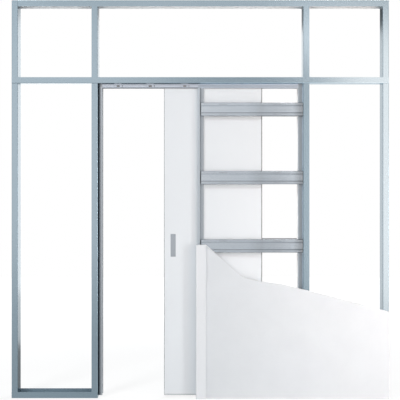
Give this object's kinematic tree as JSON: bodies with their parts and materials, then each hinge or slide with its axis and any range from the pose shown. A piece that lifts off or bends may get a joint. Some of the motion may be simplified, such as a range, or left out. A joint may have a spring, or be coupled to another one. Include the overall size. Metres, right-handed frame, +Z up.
{
  "type": "pocket door frame",
  "caption": "Steel stud wall frame with a pocket door kit: ribbed rails form the cavity, a leaf hung from a running track slides in and out, with the board lining cut away.",
  "frame": {"origin": "centre of the underside of the foot plate at the pocket mouth, on the floor, on the middle plane of the wall and at the step of the split jamb", "axes": "+X along the wall from the doorway into the pocket, +Y through the wall away from the boarded side, +Z up"},
  "size_m": [2.45, 0.1275, 2.585],
  "materials": {
    "stud_steel": "satin galvanised",
    "kit_steel": "satin galvanised",
    "track_aluminium": "natural anodised",
    "guide_plastic": "moulded",
    "leaf_white": "white lacquer",
    "pull_steel": "satin",
    "trolley_steel": "zinc plated",
    "board": "paper-faced gypsum",
    "trim_white": "white lacquer"
  },
  "bodies": {
    "frame": {"architrave": "trim_white", "back_rail_1": "kit_steel", "back_rail_2": "kit_steel", "back_rail_3": "kit_steel", "back_rail_4": "kit_steel", "back_rail_5": "kit_steel", "closing_jamb": "kit_steel", "door_stud": "stud_steel", "end_stud_left": "stud_steel", "end_stud_right": "stud_steel", "floor_guides": "guide_plastic", "floor_track_left": "stud_steel", "floor_track_right": "stud_steel", "foot_plate": "kit_steel", "front_rail_1": "kit_steel", "front_rail_2": "kit_steel", "front_rail_3": "kit_steel", "front_rail_4": "kit_steel", "front_rail_5": "kit_steel", "head_clips": "kit_steel", "head_rail_opening": "kit_steel", "head_rail_pocket": "kit_steel", "header_track": "stud_steel", "jamb_liner": "trim_white", "plasterboard": "board", "pocket_back_post": "kit_steel", "pocket_stud": "stud_steel", "running_track": "track_aluminium", "split_jamb_back": "kit_steel", "split_jamb_front": "kit_steel", "top_track": "stud_steel", "upper_door_stud": "stud_steel", "upper_end_stud_left": "stud_steel", "upper_end_stud_right": "stud_steel", "upper_pocket_stud": "stud_steel", "track_stops": "guide_plastic"},
    "leaf": {"door_leaf": "leaf_white", "flush_pull_front": "pull_steel", "flush_pull_back": "pull_steel", "trolley_leading": "trolley_steel", "trolley_trailing": "trolley_steel"}
  },
  "joints": [
    {"name": "leaf_slide", "type": "slide", "parent": "frame", "child": "leaf", "axis": [1, 0, 0], "range_m": [-0.41, 0.208]}
  ]
}
